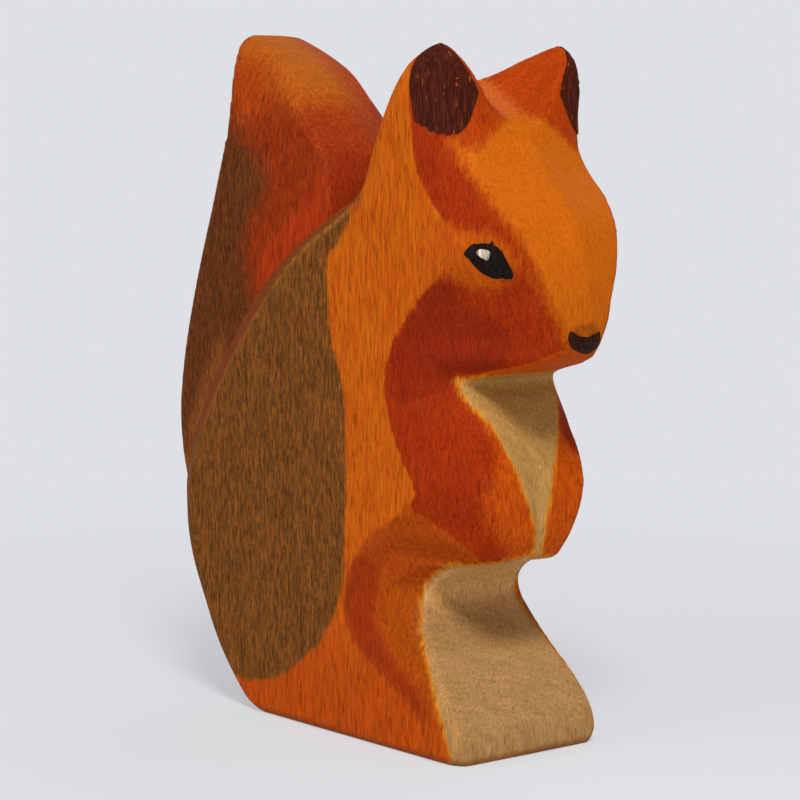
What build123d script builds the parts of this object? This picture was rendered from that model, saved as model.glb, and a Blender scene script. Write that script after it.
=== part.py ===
from build123d import *
import os

# A carved wooden squirrel that sits up with its paws on its chest.
# Millimetres. +X is the way the squirrel looks, +Y is its left side, +Z is up.
# The origin is on the face it rests on, under the middle of its length.

# Driving sizes
figure_length = 74.8          # back of the tail to the tip of the nose
ear_height = 88.0             # rest face to the tips of the ears
plank_thickness = 23.7        # the beech block that the body is carved from
tail_height = 90.4            # rest face to the top of the tail
tail_thickness = 15.7         # the thinner board that the tail is carved from

# Two hidden dowels that hold the tail board to the block
dowel_diameter = 5.0
dowel_length = 14.0
dowel_side_clearance = 0.05   # glue room all round a dowel
dowel_end_clearance = 0.4     # glue room past each end of a dowel
dowel_chamfer = 0.5
dowel_level_shares = {"lower": 0.534, "upper": 0.645}   # of the ear height

# Brushed paint: each coat is a thin skin that follows the carved wood
coat_thickness = 0.15
glint_thickness = 0.10

eye_length = 6.4
eye_width = 3.5
eye_tilt = 24.0               # degrees, the front corner is the lower one
eye_heading = 62.0            # degrees from straight ahead to where the eye looks
eye_length_share = 0.906      # of the figure length, from the tail
eye_half_share = 0.82         # of the half thickness
eye_height_share = 0.705      # of the ear height

glint_length = 1.7
glint_width = 1.3
glint_rise = 0.65             # from the middle of the eye
glint_setback = 0.25

nose_width = 5.4
nose_height = 2.3
nose_height_share = 0.593     # of the ear height

ear_patch_width = 8.6
ear_patch_height = 12.6
ear_patch_heading = 42.0      # degrees from straight ahead
ear_patch_length_share = 0.806
ear_patch_half_share = 0.84
ear_patch_height_share = 0.935

# How far a cutting or painting shape reaches past what it works on
overrun = 6.0

# The carving's long edges. Each row is a height share of the ear height, a place
# share of the length (0 at the back of the tail, 1 at the tip of the nose), and a
# share of the half thickness. The edges run from the rest face to the ear tips.

# where the flat back turns into the bevelled shoulder
back_arris_shares = [
    (0.000, 0.301, 0.878), (0.011, 0.265, 0.886), (0.034, 0.237, 0.895), (0.080, 0.187, 0.895),
    (0.159, 0.130, 0.895), (0.227, 0.084, 0.869), (0.284, 0.056, 0.802), (0.341, 0.036, 0.709),
    (0.386, 0.041, 0.662), (0.443, 0.075, 0.662), (0.500, 0.116, 0.662), (0.557, 0.170, 0.662),
    (0.614, 0.226, 0.662), (0.665, 0.291, 0.662), (0.710, 0.369, 0.662), (0.744, 0.440, 0.667),
    (0.767, 0.501, 0.700), (0.784, 0.555, 0.776), (0.801, 0.598, 0.869), (0.830, 0.623, 0.911),
    (0.864, 0.642, 0.920), (0.903, 0.666, 0.920), (0.932, 0.686, 0.911), (0.955, 0.706, 0.895),
    (0.977, 0.731, 0.852), (0.994, 0.761, 0.785), (1.000, 0.779, 0.743),
]

# where the shoulder meets the flat flank
flank_back_shares = [
    (0.000, 0.328, 0.970), (0.011, 0.297, 1.000), (0.034, 0.262, 1.000), (0.080, 0.211, 1.000),
    (0.159, 0.154, 1.000), (0.227, 0.116, 1.000), (0.284, 0.102, 1.000), (0.341, 0.108, 1.000),
    (0.386, 0.130, 1.000), (0.443, 0.167, 1.000), (0.500, 0.211, 1.000), (0.557, 0.266, 1.000),
    (0.614, 0.328, 1.000), (0.665, 0.388, 1.000), (0.710, 0.457, 1.000), (0.744, 0.531, 1.000),
    (0.767, 0.580, 1.000), (0.784, 0.608, 1.000), (0.801, 0.623, 1.000), (0.830, 0.636, 1.000),
    (0.864, 0.654, 1.000), (0.903, 0.676, 1.000), (0.932, 0.697, 1.000), (0.955, 0.715, 0.983),
    (0.977, 0.735, 0.937), (0.994, 0.765, 0.869), (1.000, 0.782, 0.835),
]

# where the flank turns into thigh, arm, cheek and ear
flank_front_shares = [
    (0.000, 0.829, 0.970), (0.011, 0.816, 1.000), (0.023, 0.802, 1.000), (0.057, 0.742, 1.000),
    (0.084, 0.706, 1.000), (0.108, 0.664, 1.000), (0.136, 0.618, 1.000), (0.163, 0.584, 1.000),
    (0.201, 0.568, 1.000), (0.237, 0.582, 1.000), (0.273, 0.618, 1.000), (0.310, 0.676, 1.000),
    (0.351, 0.739, 1.000), (0.375, 0.747, 1.000), (0.402, 0.739, 1.000), (0.426, 0.721, 1.000),
    (0.466, 0.691, 1.000), (0.507, 0.678, 1.000), (0.534, 0.675, 1.000), (0.568, 0.686, 1.000),
    (0.591, 0.702, 1.000), (0.625, 0.738, 1.000), (0.648, 0.769, 1.000), (0.682, 0.822, 1.000),
    (0.705, 0.852, 1.000), (0.727, 0.854, 1.000), (0.750, 0.829, 1.000), (0.773, 0.795, 1.000),
    (0.801, 0.771, 1.000), (0.830, 0.755, 1.000), (0.875, 0.747, 1.000), (0.932, 0.747, 1.000),
    (0.955, 0.749, 0.983), (0.977, 0.754, 0.937), (0.994, 0.770, 0.869), (1.000, 0.785, 0.835),
]

# the fullness of thigh, arm and cheek, and the fold where the arm lies on the thigh
fullness_shares = [
    (0.000, 0.841, 0.954), (0.011, 0.833, 0.992), (0.034, 0.816, 1.000), (0.091, 0.749, 0.987),
    (0.136, 0.686, 0.962), (0.182, 0.644, 0.945), (0.205, 0.638, 0.928), (0.227, 0.651, 0.903),
    (0.250, 0.691, 0.835), (0.264, 0.735, 0.751), (0.273, 0.789, 0.658), (0.278, 0.828, 0.557),
    (0.289, 0.833, 0.616), (0.307, 0.813, 0.743), (0.330, 0.771, 0.869), (0.352, 0.753, 0.962),
    (0.381, 0.785, 0.928), (0.420, 0.795, 0.895), (0.455, 0.774, 0.895), (0.500, 0.745, 0.907),
    (0.533, 0.729, 0.895), (0.547, 0.771, 0.793), (0.568, 0.816, 0.743), (0.597, 0.836, 0.700),
    (0.617, 0.856, 0.709), (0.657, 0.876, 0.759), (0.682, 0.896, 0.793), (0.714, 0.902, 0.835),
    (0.756, 0.878, 0.895), (0.795, 0.829, 0.928), (0.824, 0.805, 0.937), (0.859, 0.791, 0.945),
    (0.898, 0.789, 0.941), (0.938, 0.790, 0.937), (0.966, 0.789, 0.928), (0.981, 0.786, 0.903),
    (0.992, 0.786, 0.878), (1.000, 0.790, 0.827),
]

# the ridge along the arm, the jaw and the outer edge of the ear
ridge_shares = [
    (0.000, 0.857, 0.911), (0.011, 0.849, 0.979), (0.034, 0.842, 0.996), (0.091, 0.801, 0.962),
    (0.136, 0.753, 0.886), (0.182, 0.715, 0.810), (0.205, 0.706, 0.751), (0.227, 0.713, 0.684),
    (0.250, 0.742, 0.608), (0.264, 0.771, 0.565), (0.273, 0.820, 0.515), (0.278, 0.854, 0.422),
    (0.289, 0.873, 0.388), (0.307, 0.881, 0.456), (0.330, 0.884, 0.549), (0.352, 0.885, 0.616),
    (0.381, 0.882, 0.675), (0.420, 0.870, 0.692), (0.455, 0.841, 0.726), (0.500, 0.803, 0.759),
    (0.533, 0.775, 0.751), (0.540, 0.828, 0.608), (0.547, 0.869, 0.430), (0.557, 0.920, 0.414),
    (0.568, 0.951, 0.371), (0.582, 0.968, 0.338), (0.597, 0.975, 0.346), (0.617, 0.969, 0.405),
    (0.657, 0.959, 0.515), (0.682, 0.956, 0.599), (0.714, 0.947, 0.692), (0.756, 0.918, 0.793),
    (0.795, 0.874, 0.852), (0.824, 0.846, 0.861), (0.859, 0.830, 0.857), (0.898, 0.830, 0.844),
    (0.938, 0.833, 0.844), (0.966, 0.829, 0.840), (0.981, 0.822, 0.835), (0.992, 0.810, 0.823),
    (1.000, 0.794, 0.802),
]

# the edge of the lap, the chest and the forehead
front_arris_shares = [
    (0.000, 0.865, 0.844), (0.011, 0.866, 0.928), (0.034, 0.864, 0.970), (0.091, 0.824, 0.920),
    (0.136, 0.778, 0.827), (0.182, 0.737, 0.738), (0.205, 0.725, 0.675), (0.227, 0.729, 0.608),
    (0.250, 0.754, 0.532), (0.264, 0.783, 0.498), (0.273, 0.834, 0.439), (0.278, 0.865, 0.304),
    (0.289, 0.874, 0.118), (0.307, 0.882, 0.068), (0.330, 0.887, 0.072), (0.352, 0.888, 0.093),
    (0.386, 0.885, 0.143), (0.420, 0.877, 0.228), (0.450, 0.865, 0.338), (0.477, 0.852, 0.447),
    (0.503, 0.833, 0.574), (0.533, 0.810, 0.633), (0.540, 0.845, 0.464), (0.547, 0.882, 0.321),
    (0.557, 0.928, 0.253), (0.568, 0.967, 0.245), (0.582, 0.983, 0.245), (0.597, 0.991, 0.262),
    (0.617, 0.993, 0.325), (0.657, 0.989, 0.414), (0.682, 0.983, 0.498), (0.714, 0.971, 0.591),
    (0.756, 0.945, 0.709), (0.795, 0.902, 0.785), (0.824, 0.868, 0.776), (0.859, 0.850, 0.717),
    (0.898, 0.841, 0.591), (0.938, 0.833, 0.549), (0.966, 0.825, 0.565), (0.981, 0.817, 0.599),
    (0.992, 0.806, 0.641), (1.000, 0.794, 0.717),
]

# the middle line down the front: forehead, nose, chin, chest, lap
front_line_shares = [
    (0.000, 0.868, 0.000), (0.011, 0.870, 0.000), (0.034, 0.870, 0.000), (0.091, 0.830, 0.000),
    (0.136, 0.785, 0.000), (0.182, 0.743, 0.000), (0.205, 0.729, 0.000), (0.227, 0.726, 0.000),
    (0.250, 0.747, 0.000), (0.264, 0.777, 0.000), (0.273, 0.828, 0.000), (0.278, 0.860, 0.000),
    (0.289, 0.872, 0.000), (0.307, 0.878, 0.000), (0.330, 0.882, 0.000), (0.352, 0.883, 0.000),
    (0.386, 0.878, 0.000), (0.420, 0.872, 0.000), (0.455, 0.858, 0.000), (0.500, 0.829, 0.000),
    (0.533, 0.805, 0.000), (0.540, 0.842, 0.000), (0.547, 0.882, 0.000), (0.557, 0.929, 0.000),
    (0.568, 0.969, 0.000), (0.582, 0.989, 0.000), (0.597, 0.997, 0.000), (0.617, 1.000, 0.000),
    (0.657, 1.000, 0.000), (0.682, 0.997, 0.000), (0.714, 0.989, 0.000), (0.756, 0.969, 0.000),
    (0.795, 0.930, 0.000), (0.824, 0.900, 0.000), (0.859, 0.870, 0.000), (0.885, 0.856, 0.000),
    (0.909, 0.846, 0.000), (0.938, 0.832, 0.000), (0.966, 0.824, 0.000), (1.000, 0.794, 0.000),
]

# The valley between the ears, as rows of half thickness share and ear height share,
# low over the forehead and higher over the back of the head.
valley_front_place_share = 0.903
valley_back_place_share = 0.689
valley_front_shares = [
    (0.000, 0.863), (0.169, 0.864), (0.338, 0.875), (0.464, 0.895), (0.549, 0.923),
    (0.734, 0.969), (0.827, 1.007),
]
valley_back_shares = [
    (0.000, 0.958), (0.169, 0.963), (0.338, 0.973), (0.464, 0.983), (0.549, 0.990),
    (0.734, 1.000), (0.827, 1.007),
]

# The tail's long edges: level share, place share of the figure length, share of half the
# tail thickness. Where the tail is seated, its level shares are of the ear height, as the
# block's are. Above the seat they share out the height that the tail stands free.
tail_seat_share = 0.750
tail_back_shares = [
    (0.250, 0.079, 0.854), (0.273, 0.056, 0.917), (0.295, 0.039, 0.955), (0.334, 0.019, 0.981),
    (0.382, 0.005, 1.000), (0.438, 0.000, 1.000), (0.518, 0.012, 1.000), (0.615, 0.043, 1.000),
    (0.718, 0.086, 1.000), (0.799, 0.124, 1.000), (0.855, 0.147, 0.968), (0.917, 0.155, 0.904),
    (0.958, 0.155, 0.828), (0.982, 0.154, 0.739), (0.994, 0.155, 0.650), (1.000, 0.167, 0.548),
]
tail_back_line_shares = [
    (0.250, 0.075, 0.000), (0.273, 0.052, 0.000), (0.295, 0.035, 0.000), (0.334, 0.015, 0.000),
    (0.382, 0.001, 0.000), (0.438, -0.004, 0.000), (0.518, 0.008, 0.000), (0.615, 0.039, 0.000),
    (0.718, 0.082, 0.000), (0.799, 0.120, 0.000), (0.855, 0.143, 0.000), (0.917, 0.151, 0.000),
    (0.958, 0.151, 0.000), (0.982, 0.150, 0.000), (0.994, 0.151, 0.000), (1.000, 0.164, 0.000),
]
tail_front_shares = [
    (0.250, 0.167, 0.854), (0.295, 0.114, 0.955), (0.382, 0.114, 1.000), (0.518, 0.194, 1.000),
    (0.615, 0.287, 1.000), (0.682, 0.394, 0.994), (0.727, 0.451, 0.968), (0.755, 0.449, 0.943),
    (0.801, 0.445, 0.930), (0.842, 0.425, 0.917), (0.876, 0.386, 0.904), (0.899, 0.357, 0.885),
    (0.921, 0.333, 0.828), (0.947, 0.306, 0.752), (0.959, 0.285, 0.701), (0.970, 0.261, 0.650),
    (0.985, 0.223, 0.573), (0.995, 0.194, 0.497), (1.000, 0.180, 0.459),
]
tail_front_line_shares = [
    (0.250, 0.174, 0.000), (0.382, 0.127, 0.000), (0.518, 0.221, 0.000), (0.615, 0.314, 0.000),
    (0.682, 0.421, 0.000), (0.727, 0.480, 0.000), (0.755, 0.479, 0.000), (0.801, 0.475, 0.000),
    (0.842, 0.453, 0.000), (0.876, 0.416, 0.000), (0.899, 0.384, 0.000), (0.921, 0.357, 0.000),
    (0.947, 0.322, 0.000), (0.959, 0.298, 0.000), (0.970, 0.271, 0.000), (0.985, 0.230, 0.000),
    (0.995, 0.198, 0.000), (1.000, 0.183, 0.000),
]

# Cross sections are never closer than the first share, nor further apart than the second
least_step_share = 0.005
most_step_share = 0.020


def along(place_share):
    """A share of the length as a place along X, with the middle of the length at zero."""
    return (place_share - 1 / 2) * figure_length


def slope_at(rows, index, column):
    """The slope of a long edge at one of its points, level where the edge turns back."""
    if index == 0 or index == len(rows) - 1:
        inner = 1 if index == 0 else index
        return (rows[inner][column] - rows[inner - 1][column]) / (rows[inner][0] - rows[inner - 1][0])
    before = rows[index][0] - rows[index - 1][0]
    after = rows[index + 1][0] - rows[index][0]
    slope_before = (rows[index][column] - rows[index - 1][column]) / before
    slope_after = (rows[index + 1][column] - rows[index][column]) / after
    if slope_before * slope_after <= 0:
        return 0
    slope = (slope_before * after + slope_after * before) / (before + after)
    steepest = 3 * min(abs(slope_before), abs(slope_after))
    return max(-steepest, min(steepest, slope))


def edge_share(rows, level, column):
    """A long edge read at a level, on a smooth curve that never overshoots its points."""
    level = min(max(level, rows[0][0]), rows[-1][0])
    index = 0
    while index < len(rows) - 2 and rows[index + 1][0] < level:
        index += 1
    step = rows[index + 1][0] - rows[index][0]
    t = (level - rows[index][0]) / step
    start, end = rows[index][column], rows[index + 1][column]
    start_slope = slope_at(rows, index, column) * step
    end_slope = slope_at(rows, index + 1, column) * step
    return (
        (2 * t**3 - 3 * t**2 + 1) * start
        + (t**3 - 2 * t**2 + t) * start_slope
        + (3 * t**2 - 2 * t**3) * end
        + (t**3 - t**2) * end_slope
    )


def section_levels(edges):
    """The levels of all edge points, thinned where they crowd and filled where they are few."""
    wanted = sorted({row[0] for rows in edges for row in rows})
    levels = [wanted[0]]
    for level in wanted[1:-1]:
        if level - levels[-1] >= least_step_share and wanted[-1] - level >= least_step_share:
            levels.append(level)
    levels.append(wanted[-1])
    filled = [levels[0]]
    for level in levels[1:]:
        gap = level - filled[-1]
        steps = int(gap / most_step_share) + 1
        last = filled[-1]
        for step in range(steps):
            filled.append(last + gap * (step + 1) / steps)
    return filled


def block_height(level_share):
    """A level of the block as a height."""
    return level_share * ear_height


def tail_level_height(level_share):
    """A level of the tail as a height: on its seat it follows the block, above it stands free."""
    seat_top = tail_seat_share * ear_height
    free_share = (level_share - tail_seat_share) / (1 - tail_seat_share)
    if free_share <= 0:
        return level_share * ear_height
    return seat_top + free_share * (tail_height - seat_top)


def section(edges, level, height_at, half_thickness):
    """One horizontal cross section, the same on both sides of the middle."""
    right = []
    left = []
    for rows in edges:
        place = along(edge_share(rows, level, 1))
        half = edge_share(rows, level, 2) * half_thickness
        left.append((place, half, height_at(level)))
        if rows[0][2] > 0:
            right.append((place, -half, height_at(level)))
    outline = Polyline(left + right[::-1], close=True)
    return Wire(outline.edges())


def carved(edges, height_at, half_thickness):
    """The solid whose cross sections follow the long edges."""
    wires = [section(edges, level, height_at, half_thickness) for level in section_levels(edges)]
    return Solid.make_loft(wires, ruled=True)


def valley_profile(rows, place_share):
    """One end of the cutter that opens the valley between the ears."""
    half = plank_thickness / 2
    top = ear_height + overrun
    left = [(share * half, level * ear_height) for share, level in rows]
    right = [(-y, z) for y, z in left[1:]]
    curve = right[::-1] + left
    x = along(place_share)
    bed = Spline([(x, y, z) for y, z in curve])
    rim = Polyline(
        (x, curve[-1][0], curve[-1][1]), (x, half, top), (x, -half, top), (x, curve[0][0], curve[0][1])
    )
    return Wire(bed.edges() + rim.edges())


def ear_valley():
    """The hollow between the ears, which runs down towards the forehead."""
    back = valley_profile(valley_back_shares, valley_back_place_share)
    front = valley_profile(valley_front_shares, valley_front_place_share)
    return Solid.make_loft([back, front], ruled=True)


def block_shape():
    """Head, ears, trunk, forepaws and feet, before the dowel bores."""
    edges = [
        back_arris_shares,
        flank_back_shares,
        flank_front_shares,
        fullness_shares,
        ridge_shares,
        front_arris_shares,
        front_line_shares,
    ]
    return carved(edges, block_height, plank_thickness / 2) - ear_valley()


def tail_shape(block):
    """The tail board, scribed to the back of the block."""
    edges = [tail_back_line_shares, tail_back_shares, tail_front_shares, tail_front_line_shares]
    return carved(edges, tail_level_height, tail_thickness / 2) - block


def joint_place(level_share):
    """Where the joint between block and tail lies on the middle plane at a level."""
    return along(edge_share(back_arris_shares, level_share, 1))


def dowel(level_share):
    """A chamfered dowel, half in the block and half in the tail."""
    pin = Cylinder(dowel_diameter / 2, dowel_length, rotation=(0, 90, 0))
    pin = chamfer(pin.edges().filter_by(GeomType.CIRCLE), dowel_chamfer)
    return Pos(joint_place(level_share), 0, level_share * ear_height) * pin


def dowel_bore(level_share):
    """The bore for a dowel, in both pieces of wood."""
    radius = dowel_diameter / 2 + dowel_side_clearance
    length = dowel_length + 2 * dowel_end_clearance
    bore = Cylinder(radius, length, rotation=(0, 90, 0))
    return Pos(joint_place(level_share), 0, level_share * ear_height) * bore


class Outline:
    """A flat outline set on the wood, square to the way it faces."""

    def __init__(self, centre, heading, tilt, length, width):
        facing = Vector(1, 0, 0).rotate(Axis.Z, heading)
        plane = Plane(origin=centre, x_dir=Vector(0, 0, 1).cross(facing), z_dir=facing)
        self.z_dir = facing
        self.face = (plane * Rot(0, 0, tilt) * Ellipse(length / 2, width / 2)).face()


def coat(wood, outline, thickness, lift=0):
    """A skin of paint: the wood moved out by the coat's thickness, over what lies under it."""
    under = wood.moved(Location(outline.z_dir * lift)) if lift > 0 else wood
    skin = wood.moved(Location(outline.z_dir * (lift + thickness)))
    stamp = extrude(outline.face, overrun, both=True)
    film = (stamp & skin) - under
    return max(film.solids(), key=lambda solid: solid.volume)


def spot(side, length_share, half_share, height_share):
    """A place on the left (1) or the right (-1) side of the figure."""
    half = plank_thickness / 2
    return Vector(along(length_share), side * half_share * half, height_share * ear_height)


def eye_coats(wood, side):
    """The dark eye and the pale glint on it."""
    heading = side * eye_heading
    centre = spot(side, eye_length_share, eye_half_share, eye_height_share)
    eye_outline = Outline(centre, heading, side * eye_tilt, eye_length, eye_width)
    glint_centre = centre + Vector(-1, 0, 0) * glint_setback + Vector(0, 0, 1) * glint_rise
    glint_outline = Outline(glint_centre, heading, 0, glint_length, glint_width)
    eye = coat(wood, eye_outline, coat_thickness)
    glint = coat(wood, glint_outline, glint_thickness, lift=coat_thickness)
    return eye, glint


def nose_coat(wood):
    """The dark nose, over the tip of the muzzle."""
    centre = Vector(along(1), 0, nose_height_share * ear_height)
    return coat(wood, Outline(centre, 0, 0, nose_width, nose_height), coat_thickness)


def ear_patch_coat(wood, side):
    """The dark patch on the front of an ear."""
    centre = spot(side, ear_patch_length_share, ear_patch_half_share, ear_patch_height_share)
    outline = Outline(centre, side * ear_patch_heading, 0, ear_patch_width, ear_patch_height)
    return coat(wood, outline, coat_thickness)


def build():
    """Every piece of the figure, by its name."""
    block = block_shape()
    tail = tail_shape(block)
    pieces = {"nose": nose_coat(block)}
    for side_name, side in (("right", -1), ("left", 1)):
        eye, glint = eye_coats(block, side)
        pieces["eye_" + side_name] = eye
        pieces["eye_glint_" + side_name] = glint
        pieces["ear_patch_" + side_name] = ear_patch_coat(block, side)
    for name, level_share in dowel_level_shares.items():
        bore = dowel_bore(level_share)
        block = block - bore
        tail = tail - bore
        pieces["tail_dowel_" + name] = dowel(level_share)
    pieces["body"] = block
    pieces["tail"] = tail
    return pieces


os.makedirs("parts", exist_ok=True)
for piece_name, piece in build().items():
    export_step(piece, "parts/" + piece_name + ".step")
    size = piece.bounding_box().size
    print(piece_name, "volume", round(piece.volume, 2), "size", size)
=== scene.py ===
# %% [markdown]
# The squirrel is a small figure of about nine centimetres, sawn and carved from beech, sanded by
# hand and coloured with a brush in thin water stains, so that the grain still shows through.
# The CAD model holds its pieces at their real size. This script gives them their finish: soft
# sanded edges, brushed stains with uneven borders, and thin films of paint on eyes, nose and ears.

# %% Load the frame
import math

import bpy
import numpy as np
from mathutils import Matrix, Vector
from mathutils.bvhtree import BVHTree


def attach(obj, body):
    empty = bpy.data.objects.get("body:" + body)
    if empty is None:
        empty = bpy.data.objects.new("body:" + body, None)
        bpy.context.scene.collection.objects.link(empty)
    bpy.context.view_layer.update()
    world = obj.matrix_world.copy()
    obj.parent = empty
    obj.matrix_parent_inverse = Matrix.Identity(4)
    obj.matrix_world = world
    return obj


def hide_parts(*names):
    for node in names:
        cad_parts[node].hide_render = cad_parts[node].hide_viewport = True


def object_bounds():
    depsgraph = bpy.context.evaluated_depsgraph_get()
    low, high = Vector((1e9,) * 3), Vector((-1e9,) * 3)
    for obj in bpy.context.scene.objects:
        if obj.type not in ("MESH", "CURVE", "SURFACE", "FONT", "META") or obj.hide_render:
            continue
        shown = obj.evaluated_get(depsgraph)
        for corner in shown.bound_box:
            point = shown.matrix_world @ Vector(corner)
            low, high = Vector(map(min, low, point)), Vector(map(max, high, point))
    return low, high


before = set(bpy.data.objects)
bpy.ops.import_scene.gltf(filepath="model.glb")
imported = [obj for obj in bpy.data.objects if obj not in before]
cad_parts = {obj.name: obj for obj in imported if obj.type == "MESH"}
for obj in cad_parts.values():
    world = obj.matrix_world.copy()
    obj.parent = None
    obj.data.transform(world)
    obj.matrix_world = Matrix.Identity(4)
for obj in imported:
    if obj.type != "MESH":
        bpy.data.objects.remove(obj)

cad_box = [list(corner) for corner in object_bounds()]
MM = 0.001
print("CAD nodes:", sorted(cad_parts))

# %% [markdown]
# The camera stands where the photographer stood: on the figure's right and before it, a little
# higher than its middle. A long lens keeps the two sides of the block almost parallel.

# %% Camera
camera_place = Vector((261.364, -212.640, 76.543)) * MM
camera_aim = Vector((-0.76944, 0.63068, -0.10106))
film_width = 36.0
focal_length = 116.2
nearest_seen = 10 * MM
furthest_seen = 10_000 * MM

camera_data = bpy.data.cameras.new("camera")
camera_data.sensor_width = film_width
camera_data.lens = focal_length
camera_data.clip_start = nearest_seen
camera_data.clip_end = furthest_seen
camera = bpy.data.objects.new("camera", camera_data)
camera.location = camera_place
camera.rotation_euler = camera_aim.to_track_quat("-Z", "Y").to_euler()
bpy.context.scene.collection.objects.link(camera)
bpy.context.scene.camera = camera
print("camera", [round(value, 3) for value in camera_place])

# %% [markdown]
# Colours are chosen as they look on a screen, as sRGB hex values, and Blender wants them linear,
# so one function turns them. A second small function adds a node, sets its options and its input
# sockets, and links what it is fed with, so that each material below reads as a list of steps.

# %% Colours and nodes
def stain(hex_colour):
    """An sRGB hex colour as the linear values that a shader works in."""
    parts = [int(hex_colour[place:place + 2], 16) / 255 for place in (1, 3, 5)]
    linear = [part / 12.92 if part <= 0.04045 else ((part + 0.055) / 1.055) ** 2.4 for part in parts]
    return linear + [1.0]


def add(tree, kind, sockets=None, **options):
    """Adds a node. Sockets are named or numbered, and take a value or the node that feeds them."""
    node = tree.nodes.new("ShaderNode" + kind)
    for option, value in options.items():
        setattr(node, option, value)
    for socket, value in (sockets or {}).items():
        if isinstance(value, bpy.types.Node):
            value = next(output for output in value.outputs if output.enabled)
        if isinstance(value, bpy.types.NodeSocket):
            tree.links.new(value, node.inputs[socket])
        else:
            node.inputs[socket].default_value = value
    return node


def new_material(name):
    """An empty material: its node tree, and its Principled shader wired to the output."""
    material = bpy.data.materials.new(name)
    material.use_nodes = True
    return material, material.node_tree, material.node_tree.nodes["Principled BSDF"]


print("orange stain, linear:", [round(value, 3) for value in stain("#c26008")])

# %% [markdown]
# The background is plain and pale. What the camera sees behind the figure is kept apart from the
# light that the room gives, so the background can be nearly white while the room's light stays
# weak and the figure keeps its shadows.

# %% Background
def seen_share(tree):
    """One for what is seen straight, in a gloss or through glass, and zero for light on a surface."""
    path = add(tree, "LightPath")
    seen = add(tree, "Math", {0: path.outputs["Is Camera Ray"], 1: path.outputs["Is Glossy Ray"]},
               operation="MAXIMUM")
    return add(tree, "Math", {0: seen, 1: path.outputs["Is Transmission Ray"]}, operation="MAXIMUM")


bpy.context.scene.view_settings.view_transform = "Standard"
backdrop = stain("#dee0e4")
background_strength = 1.0
room_light = 0.30
world = bpy.data.worlds.new("studio")
bpy.context.scene.world = world
world.use_nodes = True
tree = world.node_tree
around = add(tree, "Background", {"Color": stain("#ffffff"), "Strength": room_light})
behind = add(tree, "Background", {"Color": backdrop, "Strength": background_strength})
both = add(tree, "MixShader", {0: seen_share(tree), 1: around, 2: behind})
tree.links.new(both.outputs[0], tree.nodes["World Output"].inputs["Surface"])

print("background ready, room light", room_light)

# %% [markdown]
# The figure stands on a pale floor. The edge of a floor would draw a line behind the figure, so
# this one takes the shadow near the figure and turns into the background further out.

# %% Floor
floor_radius = 2500 * MM
bpy.ops.object.select_all(action="DESELECT")
bpy.ops.mesh.primitive_circle_add(vertices=96, radius=floor_radius, fill_type="NGON")
floor = bpy.context.object
floor.name = "floor"

# The floor's matt surface shows near the figure alone
shadow_reach = 250 * MM
shadow_share = 0.45
material, tree, shader = new_material("pale_floor")
tree.nodes.remove(shader)
place = add(tree, "TexCoord")
distance = add(tree, "VectorMath", {0: place.outputs["Object"]}, operation="LENGTH").outputs["Value"]
near = add(tree, "MapRange", {"Value": distance, "From Min": 0.0, "From Max": shadow_reach,
                              "To Min": shadow_share, "To Max": 0.0}, interpolation_type="SMOOTHSTEP")
matt = add(tree, "BsdfDiffuse", {"Color": stain("#d9dbdf")})
lit = add(tree, "Emission", {"Color": backdrop, "Strength": background_strength})
far = add(tree, "Math", {0: 1.0, 1: near}, operation="SUBTRACT")
share = add(tree, "Math", {0: far, 1: seen_share(tree)}, operation="MULTIPLY")
surface = add(tree, "MixShader", {0: share, 1: matt, 2: lit})
tree.links.new(surface.outputs[0], tree.nodes["Material Output"].inputs["Surface"])
floor.data.materials.append(material)
print("floor ready, shadow within", round(shadow_reach / MM), "mm")

# %% [markdown]
# One large soft lamp stands above the camera. Three weaker ones stand in front, at the camera's
# left and behind, so that no side is black. The shadows in the photograph, under the chin and on
# the lap, gave the direction of the first lamp. A larger lamp gives a softer edge to a shadow.

# %% Lamps
middle = Vector((0.0, 0.0, 45.0)) * MM


def soft_lamp(name, turn, rise, distance, size, power):
    """A square soft lamp that looks at the middle of the figure. Turn is from +X towards +Y."""
    turn, rise = math.radians(turn), math.radians(rise)
    way = Vector((math.cos(rise) * math.cos(turn), math.cos(rise) * math.sin(turn), math.sin(rise)))
    light = bpy.data.lights.new(name, "AREA")
    light.size = size
    light.energy = power
    lamp = bpy.data.objects.new(name, light)
    lamp.location = middle + way * distance
    lamp.rotation_euler = (-way).to_track_quat("-Z", "Y").to_euler()
    bpy.context.scene.collection.objects.link(lamp)


soft_lamp("lamp_above", turn=-34, rise=50, distance=0.6, size=0.14, power=2.8)
soft_lamp("lamp_front", turn=-25, rise=2, distance=0.8, size=0.40, power=1.1)
soft_lamp("lamp_side", turn=-105, rise=14, distance=0.7, size=0.45, power=1.5)
soft_lamp("lamp_behind", turn=120, rise=35, distance=0.7, size=0.40, power=0.8)
print("four lamps")

# %% [markdown]
# The block and the tail were rounded with a knife and then sanded, which leaves flat facets with
# soft edges of about a millimetre. Bevelling the edges one by one would be slow and would leave
# corners. Instead a copy of the CAD piece gets even small faces from a voxel remesh, and is
# smoothed a few times, which wears every edge alike, as sandpaper does.

# %% Copy and sand a piece of wood
same_place = 0.001 * MM
wear = 0.5


def only(piece):
    """Makes one object the only one that is selected."""
    bpy.ops.object.select_all(action="DESELECT")
    bpy.context.view_layer.objects.active = piece
    piece.select_set(True)


def modify(piece, kind, **options):
    """Puts a modifier on a piece, sets its options and applies it."""
    only(piece)
    bpy.ops.object.modifier_add(type=kind)
    modifier = piece.modifiers[-1]
    for option, value in options.items():
        setattr(modifier, option, value)
    bpy.ops.object.modifier_apply(modifier=modifier.name)


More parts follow.
